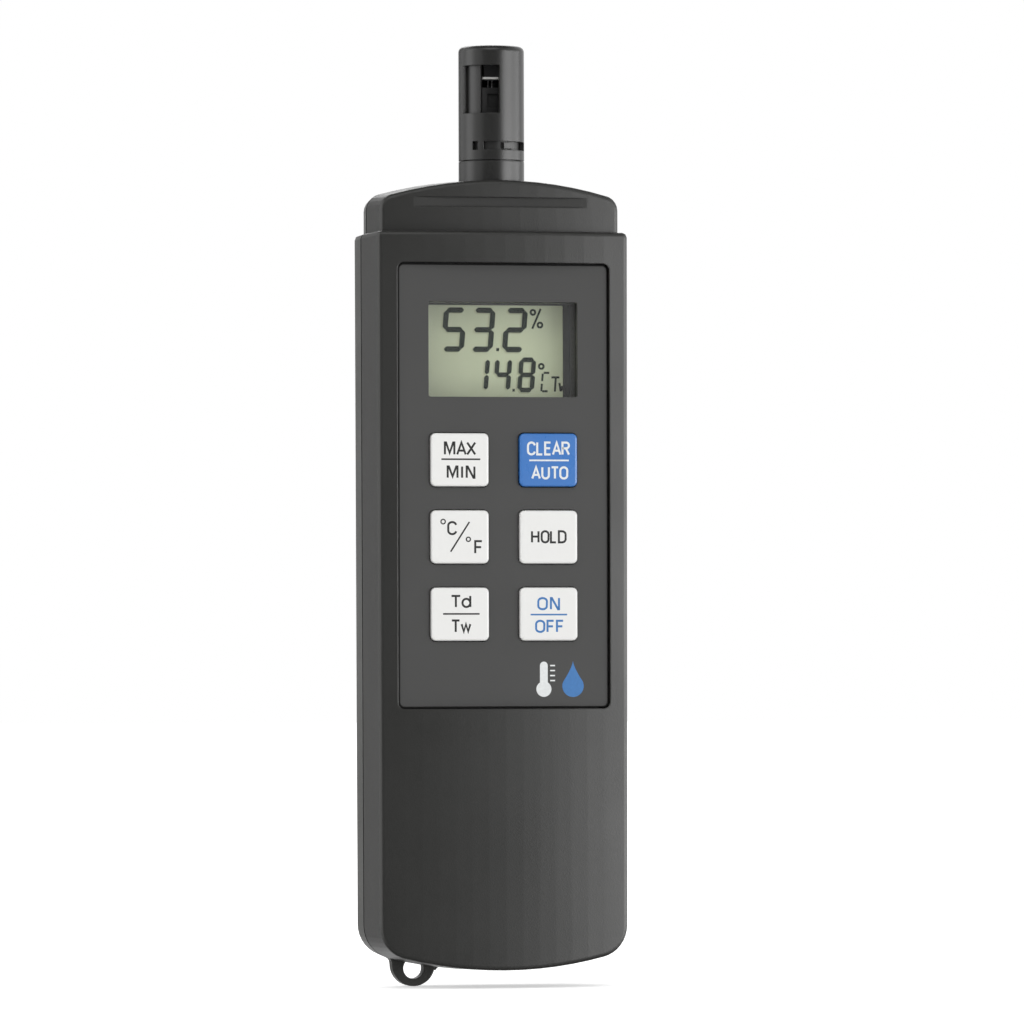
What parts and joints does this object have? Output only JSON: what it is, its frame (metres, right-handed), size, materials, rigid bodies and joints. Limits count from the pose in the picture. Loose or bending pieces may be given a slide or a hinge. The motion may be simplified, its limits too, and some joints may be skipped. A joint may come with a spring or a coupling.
{
  "type": "thermo-hygrometer",
  "caption": "Hand-held digital thermo-hygrometer: slim black case with a sunken faceplate, display, push keys, a turning sensor sleeve on top, a lanyard eye and a sliding battery cover.",
  "frame": {"origin": "on the axis of the probe, at the height where the hand holds the lower body, 45 mm above the bottom of the case", "axes": "+Z to the tip of the probe, -Y out of the display, +X to the right for someone facing the display"},
  "size_m": [0.0522, 0.0245, 0.1888],
  "materials": {
    "case_black": "fine satin moulding",
    "faceplate_grey": "satin sheet, bevelled edge",
    "clear_window": "clear polished",
    "frame_black": "matt black",
    "lcd_green": "reflective grey-green display",
    "foil": "matt foil",
    "elastomer": "soft elastomer",
    "circuit_board": "green solder mask",
    "silicone": "moulded silicone",
    "carbon": "carbon-filled rubber",
    "key_white": "smooth white moulding",
    "key_blue": "smooth blue moulding",
    "chip_black": "epoxy package with tinned leads",
    "bright_metal": "drawn can",
    "components": "ceramic and sleeved parts",
    "screw_steel": "zinc plated",
    "cell_jacket": "plain printed steel jacket",
    "contact_metal": "nickel plated",
    "probe_black": "satin moulding",
    "ring_black": "rubber ring",
    "holder_black": "matt moulding",
    "ceramic_white": "white ceramic",
    "sensor_cap": "matt porous cap",
    "leg_metal": "tinned wire",
    "bead_epoxy": "epoxy bead",
    "ribbon": "flat laminated ribbon"
  },
  "bodies": {
    "case": {"front_shell": "case_black", "rear_shell": "case_black", "faceplate": "faceplate_grey", "display_window": "clear_window", "lcd_frame": "frame_black", "lcd_glass": "lcd_green", "lcd_reflector": "foil", "zebra_strips": "elastomer", "main_board": "circuit_board", "sensor_board": "circuit_board", "keypad_mat": "silicone", "contact_pills": "carbon", "controller_chip": "chip_black", "crystal_can": "bright_metal", "small_components": "components", "case_screws": "screw_steel", "board_screws": "screw_steel", "battery_cells": "cell_jacket", "battery_springs": "contact_metal", "battery_bridge": "contact_metal", "positive_contact": "contact_metal", "negative_contact": "contact_metal", "probe_collar": "probe_black", "probe_tube": "probe_black", "sleeve_o_ring": "ring_black", "sensor_holder": "holder_black", "humidity_base": "ceramic_white", "humidity_cap": "sensor_cap", "humidity_legs": "leg_metal", "temperature_bead": "bead_epoxy", "probe_ribbon": "ribbon"},
    "sleeve": {"sensor_sleeve": "probe_black"},
    "battery_door": {"battery_cover": "case_black"},
    "key_max_min_body": {"key_max_min": "key_white"},
    "key_clear_auto_body": {"key_clear_auto": "key_blue"},
    "key_units_body": {"key_units": "key_white"},
    "key_hold_body": {"key_hold": "key_white"},
    "key_dew_wet_body": {"key_dew_wet": "key_white"},
    "key_power_body": {"key_power": "key_white"}
  },
  "joints": [
    {"name": "sleeve_turn", "type": "hinge", "parent": "case", "child": "sleeve", "pos_m": [0, 0, 0.129], "axis": [0, 0, 1], "range_deg": [-38, 35]},
    {"name": "cover_slide", "type": "slide", "parent": "case", "child": "battery_door", "axis": [0, 0, -1], "range_m": [0, 0.057]},
    {"name": "key_max_min_press", "type": "slide", "parent": "case", "child": "key_max_min_body", "axis": [0, 1, 0], "range_m": [0, 0.0008], "stiffness_N_per_m": 800, "springref_m": -0.0008, "deforming": ["keypad_mat"]},
    {"name": "key_clear_auto_press", "type": "slide", "parent": "case", "child": "key_clear_auto_body", "axis": [0, 1, 0], "range_m": [0, 0.0008], "stiffness_N_per_m": 800, "springref_m": -0.0008, "deforming": ["keypad_mat"]},
    {"name": "key_units_press", "type": "slide", "parent": "case", "child": "key_units_body", "axis": [0, 1, 0], "range_m": [0, 0.0008], "stiffness_N_per_m": 800, "springref_m": -0.0008, "deforming": ["keypad_mat"]},
    {"name": "key_hold_press", "type": "slide", "parent": "case", "child": "key_hold_body", "axis": [0, 1, 0], "range_m": [0, 0.0008], "stiffness_N_per_m": 800, "springref_m": -0.0008, "deforming": ["keypad_mat"]},
    {"name": "key_dew_wet_press", "type": "slide", "parent": "case", "child": "key_dew_wet_body", "axis": [0, 1, 0], "range_m": [0, 0.0008], "stiffness_N_per_m": 800, "springref_m": -0.0008, "deforming": ["keypad_mat"]},
    {"name": "key_power_press", "type": "slide", "parent": "case", "child": "key_power_body", "axis": [0, 1, 0], "range_m": [0, 0.0008], "stiffness_N_per_m": 800, "springref_m": -0.0008, "deforming": ["keypad_mat"]}
  ]
}
